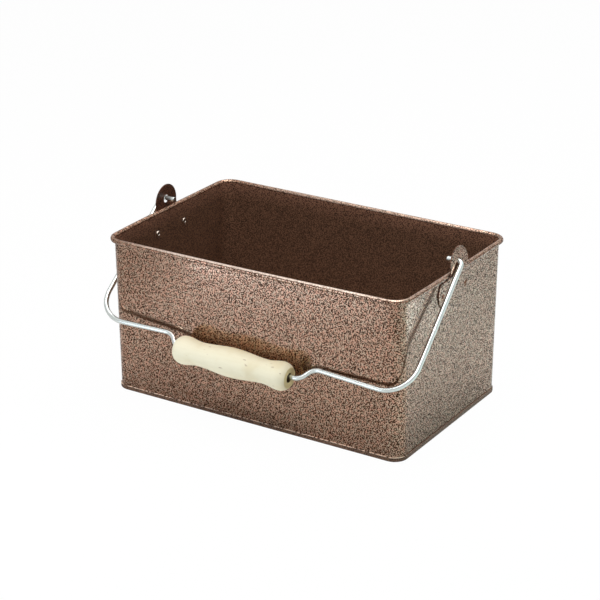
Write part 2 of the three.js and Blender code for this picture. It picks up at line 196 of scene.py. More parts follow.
# colours of the lip's edge, whose pale dashes paint its highlight
LIP_EDGE_DARK = "5A3D30"
LIP_HIGHLIGHT_PALE = "F6D6BC"
DULL_ZINC = "C6CCCA"
CLEAR_ZINC = "D8DCD9"
ZINC_PIT = "4A4C4E"
DARK_STEEL = "A3968B"
LIGHT_STEEL = "BDB1A6"
PALE_BIRCH = "FAF0D2"
BIRCH_GRAIN = "F3E8C6"
BIRCH_PATCH = "EBDAB0"
BIRCH_FLECK = "A98862"
OBLIQUE = [math.radians(turn) for turn in (35, 25, 50)]  # a turn that lines up with no wall
NOISE_SPREAD = (0.35, 0.65)  # levels between which most of a noise lies
FLAKE_LEVELS = (0.478, 0.5)  # levels of the hammer finish's noise between speck and flake
CLOUD_DRIFT = 0.007  # how far its clouds move those levels


def linear(code):
    """An sRGB hex code as a linear colour."""
    parts = [int(code[i:i + 2], 16) / 255 for i in (0, 2, 4)]
    return [p / 12.92 if p <= 0.04045 else ((p + 0.055) / 1.055) ** 2.4 for p in parts] + [1]


def add(tree, kind, inputs=None, **settings):
    """Adds a node, with its settings, and with values or links for its inputs."""
    made = tree.nodes.new(kind)
    for name, value in settings.items():
        setattr(made, name, value)
    for socket, value in (inputs or {}).items():
        if isinstance(value, bpy.types.NodeSocket):
            tree.links.new(value, made.inputs[socket])
        else:
            made.inputs[socket].default_value = value
    return made


def new_material(name):
    """A material with an empty node tree."""
    material = bpy.data.materials.new(name)
    material.use_nodes = True
    tree = material.node_tree
    tree.nodes.clear()
    return material, tree


def straight_place(tree):
    """Places on the object, in metres."""
    return add(tree, "ShaderNodeTexCoord").outputs["Object"]


def oblique_place(tree):
    """Places on the object, turned so that no wall lies along the planes of a noise's lattice,
    where the noise is weak."""
    return add(tree, "ShaderNodeMapping", {
        "Vector": straight_place(tree), "Rotation": OBLIQUE,
    }).outputs[0]


def drawn_out(tree, place, share):
    """Places along which a pattern is drawn out in X. Its width is that share of its length."""
    return add(tree, "ShaderNodeMapping", {"Vector": place, "Scale": (share, 1, 1)}).outputs[0]


def noise(tree, place, size, detail=0.0, roughness=0.5):
    """Noise from 0 to 1, with a pattern of that size in millimetres."""
    return add(tree, "ShaderNodeTexNoise", {
        "Vector": place, "Scale": 1 / (size * MM), "Detail": detail, "Roughness": roughness,
    }).outputs["Fac"]


def ramp(tree, value, start, end, low=0.0, high=1.0, shape="LINEAR"):
    """Goes from low to high while the value goes from start to end, and stays level beyond."""
    return add(tree, "ShaderNodeMapRange", {
        "Value": value, "From Min": start, "From Max": end, "To Min": low, "To Max": high,
    }, interpolation_type=shape).outputs[0]


def soft_step(tree, value, start, end, high=1.0):
    """A ramp from 0 with soft ends."""
    return ramp(tree, value, start, end, high=high, shape="SMOOTHSTEP")


def times(tree, first, second):
    """The product of two values."""
    return add(tree, "ShaderNodeMath", {0: first, 1: second}, operation="MULTIPLY").outputs[0]


def blend(tree, share, first, second):
    """A mix of two colours, each a hex code or a link. The mix node takes its share in socket 0 and
    its colours in sockets 6 and 7, and gives the mixed colour from socket 2."""
    inputs = {0: share}
    for socket, colour in ((6, first), (7, second)):
        inputs[socket] = linear(colour) if isinstance(colour, str) else colour
    return add(tree, "ShaderNodeMix", inputs, data_type="RGBA").outputs[2]


def relief(tree, height, strength, depth):
    """Normals of a shallow relief, of that depth in millimetres."""
    return add(tree, "ShaderNodeBump", {
        "Strength": strength, "Distance": depth * MM, "Height": height,
    }).outputs[0]


def surface(tree, inputs):
    """Ends the nodes of a material with its shader."""
    shader = add(tree, "ShaderNodeBsdfPrincipled", inputs)
    add(tree, "ShaderNodeOutputMaterial", {"Surface": shader.outputs[0]})


def painted_rim_highlight(tree):
    """How much painted highlight the rim gets: most along the front, less at its ends and at the back.
    """
    along = add(tree, "ShaderNodeSeparateXYZ", {0: straight_place(tree)}).outputs
    coming = ramp(tree, along["X"], RIM_HIGHLIGHT_FROM * MM, RIM_HIGHLIGHT_FULL * MM)
    going = ramp(tree, along["X"], RIM_HIGHLIGHT_LAST * MM, END_WALL * MM, low=1.0, high=RIM_HIGHLIGHT_RIGHT)
    half = TUB_DEPTH / 2 * MM
    front = ramp(tree, along["Y"], -half, half, low=1.0, high=RIM_HIGHLIGHT_BACK)
    return times(tree, times(tree, coming, going), front)


def hammer_finish_enamel(name, highlit_rim):
    """Stoved hammer-finish enamel on sheet steel. Its copper flake gathers in pale islands between
    dark brown specks, under a clear skin: the eye gets a fine speckle, and soft copper mirror
    images of the table and of what stands close to the wall. On the rim a pale speckle paints its
    highlight, strongest along the front; there the skin is thinner and the flake rougher."""
    material, tree = new_material(name)
    place = oblique_place(tree)
    specks = noise(tree, place, size=0.8)
    clouds = noise(tree, place, size=14, detail=2.0)
    tints = noise(tree, place, size=2, detail=1.0)
    drift = ramp(tree, clouds, 0.0, 1.0, low=-CLOUD_DRIFT, high=CLOUD_DRIFT)
    level = add(tree, "ShaderNodeMath", {0: specks, 1: drift}, operation="ADD").outputs[0]
    islands = soft_step(tree, level, *FLAKE_LEVELS)
    flake = blend(tree, ramp(tree, tints, *NOISE_SPREAD), COPPER_FLAKE, TAN_FLAKE)
    colour = blend(tree, islands, SPECK, flake)
    # the pale colour on the rim is a painted highlight
    if highlit_rim:
        pale = blend(tree, islands, RIM_HIGHLIGHT_SPECK, RIM_HIGHLIGHT_FLAKE)
        colour = blend(tree, painted_rim_highlight(tree), colour, pale)
    flake_roughness = 0.32 if highlit_rim else 0.15
    skin_weight = 0.15 if highlit_rim else 0.6
    surface(tree, {
        "Base Color": colour, "Metallic": islands, "Specular IOR Level": 0.1,
        "Roughness": ramp(tree, islands, 0.0, 1.0, low=0.45, high=flake_roughness),
        "Normal": relief(tree, islands, strength=0.2, depth=0.05),
        "Coat Weight": times(tree, islands, skin_weight), "Coat Roughness": 0.14,
    })
    return material


def plain_enamel(name, dark, light, lit_overspray=0.0):
    """Enamel on which the hammer pattern hasn't formed: inside the tub, on the inner faces and the
    edges of the ears, and on the base pan. A satin brown with a fine grain. Inside the tub, copper
    overspray fades out below the rim; its lighter flecks also paint the light on the upper inner wall."""
    material, tree = new_material(name)
    grain = ramp(tree, noise(tree, oblique_place(tree), size=0.8), *NOISE_SPREAD)
    colour = blend(tree, grain, dark, light)
    # the overspray's lighter flecks also paint the light below the rim
    if lit_overspray:
        height = add(tree, "ShaderNodeSeparateXYZ", {0: straight_place(tree)}).outputs["Z"]
        lit_overspray_share = ramp(tree, height, (LAP_HEIGHT - LIT_OVERSPRAY) * MM, LAP_HEIGHT * MM, high=lit_overspray)
        colour = blend(tree, times(tree, grain, lit_overspray_share), colour, LIT_OVERSPRAY_FLAKE)
    surface(tree, {"Base Color": colour, "Roughness": 0.4, "Specular IOR Level": 0.3})
    return material


def lip_edge_highlight():
    """Enamel on the top edge of the base pan's lip, with a painted highlight: pale dashes on dark
    brown, which draw a broken light line along the foot."""
    material, tree = new_material("enamel_lip_edge_with_painted_highlight")
    dashes = noise(tree, oblique_place(tree), size=2.2, detail=1.0)
    highlit_dashes = soft_step(tree, dashes, start=0.42, end=0.52)
    surface(tree, {
        "Base Color": blend(tree, highlit_dashes, LIP_EDGE_DARK, LIP_HIGHLIGHT_PALE),
        "Roughness": 0.5, "Specular IOR Level": 0.2,
    })
    return material


def bright_zinc_plate():
    """Drawn steel wire with bright zinc plate. Silvery and satin with a cool cast, a little
    cloudy, with a few dark pits."""
    material, tree = new_material("bright_zinc_plate")
    place = straight_place(tree)
    clouds = noise(tree, place, size=14, detail=2.0)
    pits = noise(tree, place, size=2.6)
    pitted = soft_step(tree, pits, start=0.8, end=0.84)
    plate = blend(tree, clouds, DULL_ZINC, CLEAR_ZINC)
    surface(tree, {
        "Base Color": blend(tree, pitted, plate, ZINC_PIT), "Metallic": 1.0,
        "Roughness": ramp(tree, clouds, 0.0, 1.0, low=0.22, high=0.3),
    })
    return material


def bare_steel():
    """Plain drawn steel: the rivets' clinched tails and the wire in the rim. Grey and faintly
    streaked, darker than the plated bail."""
    material, tree = new_material("bare_steel")
    streaks = noise(tree, straight_place(tree), size=0.9, detail=2.0)
    surface(tree, {
        "Base Color": blend(tree, streaks, DARK_STEEL, LIGHT_STEEL), "Metallic": 1.0,
        "Roughness": ramp(tree, streaks, 0.0, 1.0, low=0.15, high=0.25),
    })
    return material


def sanded_birch():
    """Turned and sanded birch, unvarnished. Cream and dull, with faint long grain, soft tan
    patches and a few short brown flecks."""
    material, tree = new_material("sanded_birch")
    place = straight_place(tree)
    grain = noise(tree, drawn_out(tree, place, 0.07), size=1.6, detail=4.0, roughness=0.6)
    patches = noise(tree, place, size=13, detail=2.0)
    flecks = noise(tree, drawn_out(tree, place, 0.3), size=1.7)
    streaked = ramp(tree, grain, start=0.35, end=0.7, high=0.5)
    patched = soft_step(tree, patches, start=0.45, end=0.75, high=0.6)
    flecked = soft_step(tree, flecks, start=0.77, end=0.85, high=0.5)
    pale = blend(tree, streaked, PALE_BIRCH, BIRCH_GRAIN)
    warm = blend(tree, patched, pale, BIRCH_PATCH)
    surface(tree, {
        "Base Color": blend(tree, flecked, warm, BIRCH_FLECK),
        "Roughness": 0.62, "Normal": relief(tree, grain, strength=0.15, depth=0.08),
    })
    return material


def cut_birch(name, dark, light):
    """Birch cut across its fibres, with fine dull pores. The grip's end faces are a little yellower
    than its side. The wall of its bore is brown as painted shade, so that the hole reads dark."""
    material, tree = new_material(name)
    fibres = noise(tree, straight_place(tree), size=0.8, detail=2.0)
    surface(tree, {"Base Color": blend(tree, fibres, dark, light), "Roughness": 0.8})
    return material


ENAMEL = hammer_finish_enamel("hammer_finish_enamel", highlit_rim=False)
# enamel for the rim's crown, with its highlight painted in a pale colour
RIM = hammer_finish_enamel("hammer_finish_enamel_with_painted_rim_highlight", highlit_rim=True)
# copper overspray below the rim, which also paints the light on the upper inner wall
INSIDE = plain_enamel("plain_enamel", dark="3F2C22", light="8E6A53", lit_overspray=0.6)
# a darker enamel that paints the shade on the ears' inner faces and edges
EAR_BACK_SHADE = plain_enamel("plain_enamel_with_painted_shade_on_the_ears", dark="22140D", light="7A4E3A")
LIP = plain_enamel("plain_enamel_on_the_lip", dark="6A4C3E", light="A88470")
# pale dashes that paint the highlight along the lip's top edge
LIP_EDGE_HIGHLIGHT = lip_edge_highlight()
ZINC = bright_zinc_plate()
STEEL = bare_steel()
BIRCH = sanded_birch()
END_GRAIN = cut_birch("birch_end_grain", dark="F0DA9E", light="FCEBBA")
# painted shade for the wall of the grip's bore
BORE_SHADE = cut_birch("birch_bore_with_painted_shade", dark="5A4630", light="8A6F4C")


# Mesh helpers, in millimetres

def make_piece(name, points, faces, finishes, at=Matrix()):
    """A smooth-shaded object from points in millimetres, with its normals facing out."""
    shape = bmesh.new()
    corners = [shape.verts.new(at @ Vector(point) * MM) for point in points]
    for face in faces:
        shape.faces.new([corners[i] for i in face])
    bmesh.ops.recalc_face_normals(shape, faces=shape.faces[:])
    mesh = bpy.data.meshes.new(name)
    shape.to_mesh(mesh)
    shape.free()
    piece = bpy.data.objects.new(name, mesh)
    bpy.context.scene.collection.objects.link(piece)
    for finish in finishes:
        mesh.materials.append(finish)
    mesh.shade_smooth()
    mesh.set_sharp_from_angle(angle=SHARP_ANGLE)
    return piece


def paint(piece, finishes, choose):
    """Gives each face of a piece the one of its finishes that is chosen for it."""
    for face in piece.data.polygons:
        face.material_index = finishes.index(choose(face))


def dress(piece, body, node):
    """The piece rides on its body and stands for the CAD node."""
    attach(piece, body)
    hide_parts(node)


def arc(middle, radius, start, end, steps):
    """Points of an arc in a plane, from one angle to another in degrees."""
    angles = [math.radians(start + (end - start) * i / steps) for i in range(steps + 1)]
    return [Vector((middle[0] + radius * math.cos(a), middle[1] + radius * math.sin(a)))
            for a in angles]


def rows_to_faces(rows, around, closed):
    """Quads between rows of points that each run round a ring. Rows that don't close on themselves
    get a cap at each end."""
    faces = []
    for row in range(rows if closed else rows - 1):
        here = row * around
        following = (row + 1) % rows * around
        for i in range(around):
            beside = (i + 1) % around
            faces.append((here + i, here + beside, following + beside, following + i))
    if not closed:
        last = (rows - 1) * around
        faces += [tuple(range(around)), tuple(range(last, last + around))]
    return faces


def turned(profile, sides, closed):
    """A shape turned about the X axis. Its profile holds places along the axis and radii."""
    points = []
    for along, radius in profile:
        ring = arc((0, 0), radius, 0, 360, sides)[:-1]
        points += [(along, y, z) for y, z in ring]
    return points, rows_to_faces(len(profile), sides, closed)


# Tub

def half_depth(height):
    """Half the tub's depth at a height, over its leaning long walls."""
    return TUB_DEPTH / 2 - LONG_WALL_LEAN * (1 - height / TUB_HEIGHT)


def tub_outline(out, height):
    """The tub's rounded rectangle at a height, moved out from the wall's outer face."""
    x = END_WALL - CORNER_RADIUS
    y = half_depth(height) - CORNER_RADIUS
    middles = [(x, y), (-x, y), (-x, -y), (x, -y)]
    turns = [arc(middle, CORNER_RADIUS + out, 90 * i, 90 * i + 90, CORNER_STEPS)
             for i, middle in enumerate(middles)]
    outline = []
    for i, turn in enumerate(turns):
        run_end = turns[(i + 1) % len(turns)][0]
        outline += turn
        outline += [turn[-1].lerp(run_end, step / SIDE_STEPS) for step in range(1, SIDE_STEPS)]
    return outline


def lift(x, y):
    """How far the rim stands above level. Only the front rim does, between the two ears."""
    front = max(-y / (TUB_DEPTH / 2), 0) ** 2
    share = x / END_WALL
    tilt = (FRONT_RIM["right"] - FRONT_RIM["left"]) / 2
    ends = (FRONT_RIM["right"] + FRONT_RIM["left"]) / 2
    return front * (FRONT_RIM["middle"] + tilt * share + (ends - FRONT_RIM["middle"]) * share ** 2)


def settled(point, height):
    """Moves a point of the wall in as the thin panels have settled, away from their stiff edges."""
    x, y = point
    rise = (height - SHEET) / (BEAD_HEIGHT - SHEET)
    across = abs(x) / (END_WALL - CORNER_RADIUS)
    deep = abs(y) / (half_depth(height) - CORNER_RADIUS)
    below_ear = height / (TUB_HEIGHT - EAR_FOOT_DROP - EAR_FOOT_HEIGHT)
    if across < 1 and rise < 1:
        swell = (1 - across ** 2) ** 2 * math.sin(math.pi * rise) ** 2
        wave = math.sin(RIPPLE_ALONG * x + RIPPLE_START) * math.sin(RIPPLE_UP * height)
        return Vector((x, y - math.copysign(swell * (BOW + RIPPLE * wave), y)))
    if deep < 1 and below_ear < 1:
        swell = (1 - deep ** 2) ** 2 * math.sin(math.pi * below_ear) ** 2
        return Vector((x - math.copysign(swell * BOW, x), y))
    return point


def round_the_tub(section, shape=lambda point, height: point):
    """Points of a section carried round the tub, and how many there are in each row."""
    rows = [[shape(point, height) for point in tub_outline(out, height)] for out, height in section]
    points = [(x, y, height + lift(x, y) * height / TUB_HEIGHT)
              for row, (_, height) in zip(rows, section) for x, y in row]
    return points, len(rows[0])


def tub_wall():
    """The wall's sheet stands on the pan and is rolled outwards into the rim."""
    bead = (BEAD_OUT, BEAD_HEIGHT)
    curl_end = -math.degrees(math.acos((CURL_GAP - BEAD_OUT) / BEAD_RADIUS))
    rises = [SHEET + (BEAD_HEIGHT - SHEET) * i / WALL_ROWS for i in range(WALL_ROWS)]
    section = [(0, height) for height in rises]
    section += arc(bead, BEAD_RADIUS - SHEET, 180, curl_end, CURL_STEPS)
    section += arc(bead, BEAD_RADIUS, curl_end, 180, CURL_STEPS)
    section += [(-SHEET, height) for height in reversed([*rises, LAP_HEIGHT])]
    points, around = round_the_tub(section, settled)
    finishes = [ENAMEL, INSIDE, RIM]
    wall = make_piece("wall_sheet", points, rows_to_faces(len(section), around, True), finishes)
    drill(wall)

    def finish(face):
        x, y, z = face.center / MM
        height = z - lift(x, y)
        inner = face.normal.xy.dot(face.center.xy) < 0
        # the bead's crown takes the enamel with the painted highlight
        if height > BEAD_HEIGHT and (inner or face.normal.z > RIM_CROWN):
            return RIM
        return INSIDE if inner and height <= LAP_HEIGHT else ENAMEL

    paint(wall, finishes, finish)
    dress(wall, "tub", "tub_wall")


def rim_wire():
    """The wire that the rim is rolled round."""
    section = arc((BEAD_OUT, BEAD_HEIGHT), RIM_WIRE_RADIUS, 0, 360, ROUND_SIDES)[:-1]
    points, around = round_the_tub(section, settled)
    wire = make_piece("wire_in_the_rim", points, rows_to_faces(len(section), around, True), [STEEL])
    dress(wire, "tub", "rim_wire")


def drill(wall):
    """Cuts the four rivet holes through the end walls."""
    points, faces = [], []
    for side in SIDES.values():
        for y in RIVET_PLACES.values():
            ends = [side * END_WALL + step for step in (-TONGUE_OUT, TONGUE_OUT)]
            bar, bar_faces = turned([(x, RIVET_HOLE_DIAMETER / 2) for x in ends], ROUND_SIDES, False)
            faces += [tuple(len(points) + i for i in face) for face in bar_faces]
            points += [(x, y + bar_y, RIVET_HEIGHT + z) for x, bar_y, z in bar]
    bars = make_piece("rivet_bars", points, faces, [])
    cut = wall.modifiers.new("rivet_holes", "BOOLEAN")
    cut.object = bars
    cut.operation = "DIFFERENCE"
    cut.solver = "EXACT"
    graph = bpy.context.evaluated_depsgraph_get()
    drilled = bpy.data.meshes.new_from_object(wall.evaluated_get(graph))
    wall.modifiers.clear()
    wall.data = drilled
    bpy.data.objects.remove(bars)


def base_pan():
    """The floor, with its edge turned up round the foot of the wall."""
    outside = LIP_GAP + SHEET
    edge = (outside - PAN_EDGE_RADIUS, PAN_EDGE_RADIUS)
    section = arc(edge, PAN_EDGE_RADIUS, -90, 0, SMALL_STEPS)
    section += arc((outside - LIP_ROUND, LIP_HEIGHT - LIP_ROUND), LIP_ROUND, 0, 90, SMALL_STEPS)
    section += [(FILLED_GAP, LIP_HEIGHT), (FILLED_GAP, SHEET)]
    points, around = round_the_tub(section)
    finishes = [INSIDE, LIP_EDGE_HIGHLIGHT, LIP]
    pan = make_piece("pan_sheet", points, rows_to_faces(len(section), around, False), finishes)
    half_straight = half_depth(0) - CORNER_RADIUS

    def finish(face):
        x, y, z = face.center / MM
        on_edge = z > LIP_HEIGHT - LIP_ROUND and face.normal.z > LIP_CROWN
        # the lip's top edge at the front takes the painted highlight
        if on_edge and y < -half_straight:
            return LIP_EDGE_HIGHLIGHT
        at_end = abs(x) > END_WALL - CORNER_RADIUS and abs(y) < half_straight
        return LIP if at_end else INSIDE

    paint(pan, finishes, finish)
    dress(pan, "tub", "base_pan")


# Ears and rivets

def on_end_wall(side, y=0, z=0):
    """A place on the outer face of an end wall, with its X axis pointing away from the tub."""
    outward = Matrix.Rotation(0 if side == "right" else math.pi, 4, "Z")
    return Matrix.Translation((SIDES[side] * END_WALL, y, z)) @ outward


def ear_outline():
    """The ear seen square to the end wall: a round-ended foot and a round-topped tongue."""
    foot = EAR_FOOT_HEIGHT / 2
    foot_middle = TUB_HEIGHT - EAR_FOOT_DROP
    lobe = EAR_FOOT_WIDTH / 2 - foot
    tongue = TONGUE_WIDTH / 2
    tongue_middle = TUB_HEIGHT + TONGUE_HEIGHT - tongue
    fillet = tongue + SHOULDER_FILLET
    rise = math.sqrt((foot + SHOULDER_FILLET) ** 2 - (fillet - lobe) ** 2)
    turn = math.degrees(math.atan2(rise, fillet - lobe))
    half = arc((lobe, foot_middle), foot, -90, turn, ROUND_SIDES)
    half += arc((fillet, foot_middle + rise), SHOULDER_FILLET, turn + 180, 180, SMALL_STEPS)[1:]
    half += arc((0, tongue_middle), tongue, 0, 90, ROUND_SIDES)
    return half + [Vector((-y, z)) for y, z in reversed(half[:-1])]


def inset(loop, distance):
    """A loop moved to its left, point by point."""
    moved = []
    for i, point in enumerate(loop):
        along = (loop[(i + 1) % len(loop)] - loop[i - 1]).normalized()
        moved.append(point + Vector((-along.y, along.x)) * distance)
    return moved


def ear_reach(height, lean):
    """How far the ear's inner face stands off the wall at a height, with its bends rounded."""
    def bent(z):
        joggle = (z - TUB_HEIGHT + EAR_BEND_DROP) / EAR_JOGGLE_RISE
        lean_in = max(z - TUB_HEIGHT, 0) * math.tan(math.radians(lean))
        return TONGUE_OUT * min(max(joggle, 0), 1) - lean_in
    steps = range(-SMALL_STEPS, SMALL_STEPS + 1)
    return sum(bent(height + EAR_BEND_BLUR * i / SMALL_STEPS) for i in steps) / len(steps)


def ear_blank():
    """The flat ear as a mesh in the Y-Z plane, with a narrow strip along each edge."""
    holes = [(0, TUB_HEIGHT + PIVOT_HEIGHT - PIVOT_HOLE_DROP, PIVOT_HOLE_DIAMETER)]
    holes += [(y, RIVET_HEIGHT, RIVET_HOLE_DIAMETER) for y in RIVET_PLACES.values()]
    loops = [ear_outline()]
    loops += [arc((y, z), width / 2, 360, 0, ROUND_SIDES)[:-1] for y, z, width in holes]
    flat = bmesh.new()
    rims = []
    for loop in loops:
        edge = [flat.verts.new((0, *point)) for point in loop]
        inner = [flat.verts.new((0, *point)) for point in inset(loop, EAR_EDGE)]
        for i in range(len(loop)):
            rims.append(flat.edges.new((inner[i - 1], inner[i])))
        for i in range(len(loop)):
            flat.faces.new((edge[i - 1], edge[i], inner[i], inner[i - 1]))
    bmesh.ops.triangle_fill(flat, edges=rims, use_beauty=True)
    first = TUB_HEIGHT - EAR_BEND_DROP
    for bend in (first, first + EAR_JOGGLE_RISE, TUB_HEIGHT):
        for i in range(-SMALL_STEPS, SMALL_STEPS + 1):
            bmesh.ops.bisect_plane(
                flat, geom=flat.verts[:] + flat.edges[:] + flat.faces[:],
                plane_co=(0, 0, bend + EAR_BEND_BLUR * i / SMALL_STEPS), plane_no=(0, 0, 1))
    flat.verts.index_update()
    return flat


def ear(side):
    """A stamped plate, flat on the end wall at its foot and joggled out past the rim."""
    lean = EAR_LEAN[side]
    flat = ear_blank()
    skins = []
    for depth in (0, EAR_SHEET):
        for corner in flat.verts:
            _, y, z = corner.co
            broken = EAR_EDGE if corner.is_boundary else 0
            off = depth + (broken if depth == 0 else -broken)
            slope = (ear_reach(z + EAR_EDGE, lean) - ear_reach(z - EAR_EDGE, lean)) / (2 * EAR_EDGE)
            outward = Vector((1, 0, -slope)).normalized()
            skins.append(Vector((ear_reach(z, lean), y, z)) + outward * off)
    count = len(flat.verts)
    faces = [tuple(corner.index for corner in face.verts) for face in flat.faces]
    faces += [tuple(count + i for i in face) for face in faces]
    for edge in flat.edges:
        if edge.is_boundary:
            a, b = (corner.index for corner in edge.verts)
            faces.append((a, b, count + b, count + a))
    flat.free()
    finishes = [ENAMEL, EAR_BACK_SHADE]
    plate = make_piece("ear_plate_" + side, skins, faces, finishes, on_end_wall(side))

    def finish(face):
        # the inner face and the edges take the darker enamel with painted shade
        return EAR_BACK_SHADE if face.normal.x * SIDES[side] < EAR_FRONT else ENAMEL

    paint(plate, finishes, finish)
    dress(plate, "tub", "ear_" + side)


def rivet(side, place):
    """A rivet with a low domed head on the ear and a hollow tail clinched inside the wall."""
    tail_end = -SHEET - RIVET_TAIL_HEIGHT
    roll = (RIVET_TAIL_RADIUS - RIVET_BORE_RADIUS) / 2
    roll_middle = RIVET_BORE_RADIUS + roll
    rolled = [(tail_end + RIVET_TAIL_HEIGHT * (1 - z), roll_middle + roll * r)
              for r, z in arc((0, 0), 1, 180, 0, 2 * SMALL_STEPS)]
    dome = [(EAR_SHEET + RIVET_HEAD_HEIGHT * z, RIVET_HEAD_RADIUS * r)
            for r, z in arc((0, 0), 1, 0, 90, 2 * SMALL_STEPS)[:-1]]
    tip = [(EAR_SHEET + RIVET_HEAD_HEIGHT, RIVET_HEAD_RADIUS * RIVET_POLE)]
    bore = [(tail_end + RIVET_BORE_DEPTH, RIVET_BORE_RADIUS * r) for r in (RIVET_POLE, 1)]
    shank = [(-SHEET, RIVET_SHANK_RADIUS), (EAR_SHEET, RIVET_SHANK_RADIUS)]
    points, faces = turned(bore + rolled + shank + dome + tip, ROUND_SIDES, False)
    name = f"rivet_{side}_{place}"
    finishes = [ENAMEL, STEEL]
    at = on_end_wall(side, RIVET_PLACES[place], RIVET_HEIGHT)
    piece = make_piece("turned_" + name, points, faces, finishes, at)

    def finish(face):
        return STEEL if abs(face.center.x) < (END_WALL - SHEET) * MM else ENAMEL

    paint(piece, finishes, finish)
    dress(piece, "tub", name)


# Bail and grip

# In the bail's own frame X runs along its pivots, -Y along its reach and +Z away from the wall
BAIL_AT = Matrix.Translation(pivot / MM) @ Matrix.Rotation(HANG, 4, "X")
GRIP_REACH = math.hypot(pivot.y - grip_axis.y, pivot.z - grip_axis.z) / MM


def bail_corners(side):
    """Corners and bend radii of half the bail, from the tip to the grip."""
    pivot_x = BAIL_MIDDLE_AT_PIVOTS + side * LEG_AT_PIVOT
    jog_turn = math.atan2(GRIP_OFFSET, JOG_RUN)
    grip_end = side * (GRIP_LENGTH / 2 + GRIP_END_PLAY + JOG_BEND * math.tan(jog_turn / 2))
    shoulder = grip_end + side * JOG_RUN
    tilt = math.tan(GRIP_TILT)
    corner = Vector((side * LEG_AT_CORNER, -SHOULDER_REACH - CORNER_DROOP,
                     CORNER_STAND_OUT - side * CORNER_TWIST))
    outer = Vector((BAIL_MIDDLE_AT_GRIP + shoulder, side * SHOULDER_SKEW - SHOULDER_REACH,
                    -shoulder * tilt))
    inner = Vector((BAIL_MIDDLE_AT_GRIP + grip_end, -SHOULDER_REACH - GRIP_OFFSET,
                    -grip_end * tilt))
    return [(Vector((pivot_x - side * TIP_LENGTH, 0, 0)), 0), (Vector((pivot_x, 0, 0)), PIVOT_BEND),
            (corner, CORNER_BEND), (outer, JOG_BEND), (inner, JOG_BEND)]


def bail_path():
    """Stations along the wire's middle, each with the way it runs there."""
    corners = bail_corners(1) + bail_corners(-1)[::-1]
    places = [place for place, _ in corners]
    stations = [(places[0], (places[1] - places[0]).normalized())]
    for i in range(1, len(places) - 1):
        into = (places[i] - places[i - 1]).normalized()
        out = (places[i + 1] - places[i]).normalized()
        turn = into.angle(out)
        bend = corners[i][1]
        start = places[i] - into * bend * math.tan(turn / 2)
        inward = (out - into * into.dot(out)).normalized()
        steps = math.ceil(math.degrees(turn) / BEND_STEP)
        for step in range(steps + 1):
            angle = turn * step / steps
            point = start + into * bend * math.sin(angle) + inward * bend * (1 - math.cos(angle))
            stations.append((point, into * math.cos(angle) + inward * math.sin(angle)))
    stations.append((places[-1], (places[-1] - places[-2]).normalized()))
    return stations


def bail_wire():
    """The wire, swept along its path and rounded at both ends."""
    stations = bail_path()
    rings = [(point, run, WIRE_RADIUS) for point, run in stations]
    rounding = arc((WIRE_RADIUS - WIRE_END_ROUND, 0), WIRE_END_ROUND, 0, 90, SMALL_STEPS)
    for end, way in ((0, 1), (-1, -1)):
        point, run = stations[end]
        tip = [(point + run * way * (WIRE_END_ROUND - back), run, radius) for radius, back in rounding]
        rings = tip[::-1] + rings[1:] if end == 0 else rings[:-1] + tip
    points = []
    for point, run, radius in rings:
        across = Vector((0, 0, 1)).cross(run).normalized()
        rise = run.cross(across)
        for side, up in arc((0, 0), radius, 0, 360, ROUND_SIDES)[:-1]:
            points.append(point + across * side + rise * up)
    faces = rows_to_faces(len(rings), ROUND_SIDES, False)
    wire = make_piece("bent_wire", points, faces, [ZINC], BAIL_AT)
    dress(wire, "bail", "bail_wire")


def grip_outline():
    """Half of the turned outline, from the end face to the middle, as distances and radii."""
    drop = (GRIP_BULB_RADIUS - GRIP_FACE_RADIUS) / (1 - math.cos(GRIP_FACE_EDGE))
    stretch = GRIP_BULB_PLACE / math.sin(GRIP_FACE_EDGE)
    outline = [(GRIP_BULB_PLACE + stretch * y, GRIP_BULB_RADIUS - drop * (1 - x))
               for x, y in arc((0, 0), 1, -math.degrees(GRIP_FACE_EDGE), 0, PROFILE_STEPS)]
    swells = [(GRIP_BULB_PLACE, GRIP_BULB_RADIUS), (GRIP_NECK_PLACE, GRIP_NECK_RADIUS),
              (GRIP_LENGTH / 2, GRIP_BELLY_RADIUS)]
    for (start, thin), (end, thick) in zip(swells, swells[1:]):
        for step in range(1, PROFILE_STEPS + 1):
            share = step / PROFILE_STEPS
            ease = (1 - math.cos(math.pi * share)) / 2
            outline.append((start + (end - start) * share, thin + (thick - thin) * ease))
    return outline


def grip():
    """The turned grip, loose on its run of the wire."""
    half = grip_outline()
    mouth = [(GRIP_BORE_CHAMFER, GRIP_BORE_RADIUS), (0, GRIP_BORE_RADIUS + GRIP_BORE_CHAMFER)]
    one_end = mouth + half
    other_end = [(GRIP_LENGTH - along, radius) for along, radius in one_end[-2::-1]]
    start = -GRIP_LENGTH / 2 - GRIP_SLIDE
    profile = [(start + along, radius) for along, radius in one_end + other_end]
    points, faces = turned(profile, GRIP_SIDES, True)
    run = Matrix.Translation((BAIL_MIDDLE_AT_GRIP, -GRIP_REACH, 0))
    at = BAIL_AT @ run @ Matrix.Rotation(GRIP_TILT, 4, "Y")
    finishes = [BIRCH, END_GRAIN, BORE_SHADE]
    piece = make_piece("turned_grip", points, faces, finishes, at)
    bore_row = len(profile) - 1
    end_rows = (0, 1, bore_row - 2, bore_row - 1)  # the chamfer and the face of each end

    def finish(face):
        row = face.index // GRIP_SIDES
        # the bore's wall takes the painted shade
        if row == bore_row:
            return BORE_SHADE
        return END_GRAIN if row in end_rows else BIRCH

    paint(piece, finishes, finish)
    dress(piece, "grip", "grip")


tub_wall()
rim_wire()
base_pan()
for ear_side in SIDES:
    ear(ear_side)
    for rivet_place in RIVET_PLACES:
        rivet(ear_side, rivet_place)
bail_wire()
grip()


# Stage, in metres: a white sweep, soft lamps, and the camera at the photograph's angle

